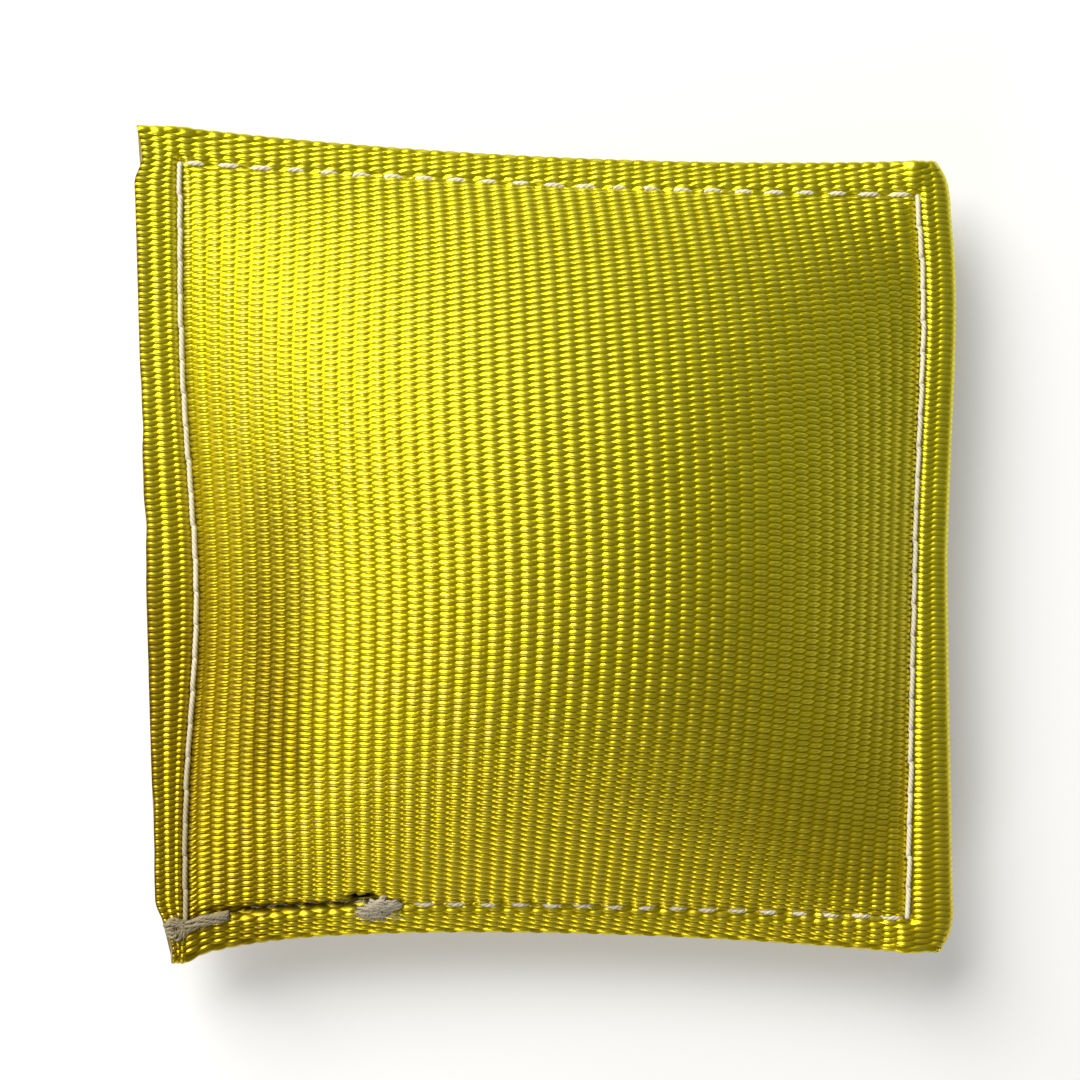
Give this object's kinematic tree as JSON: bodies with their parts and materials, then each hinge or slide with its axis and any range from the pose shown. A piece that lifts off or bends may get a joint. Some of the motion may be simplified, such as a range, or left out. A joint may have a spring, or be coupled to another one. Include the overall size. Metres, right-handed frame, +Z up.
{
  "type": "filled webbing pouch",
  "caption": "Small square pouch of folded flat webbing, sewn shut round its edges and filled with loose shot.",
  "frame": {"origin": "middle of the pouch's plan box, on the flat surface that the pouch lies on", "axes": "+X along the webbing towards its fold, +Y across the webbing, +Z up out of the crowned face"},
  "size_m": [0.0996, 0.0994, 0.0265],
  "materials": {
    "webbing": "satin",
    "thread": "satin",
    "worn_thread": "matte",
    "shot": "satin"
  },
  "bodies": {
    "root": {"webbing_cover": "webbing", "shot_fill": "shot", "needle_thread_left": "thread", "needle_thread_top": "thread", "needle_thread_right": "thread", "needle_thread_bottom": "thread", "closing_needle_thread": "thread", "bobbin_thread_left": "thread", "bobbin_thread_top": "thread", "bobbin_thread_right": "thread", "bobbin_thread_bottom": "thread", "closing_bobbin_thread": "thread", "corner_backtack_upper": "worn_thread", "corner_backtack_lower": "worn_thread", "gap_backtack_upper": "worn_thread", "gap_backtack_lower": "worn_thread"}
  },
  "joints": []
}
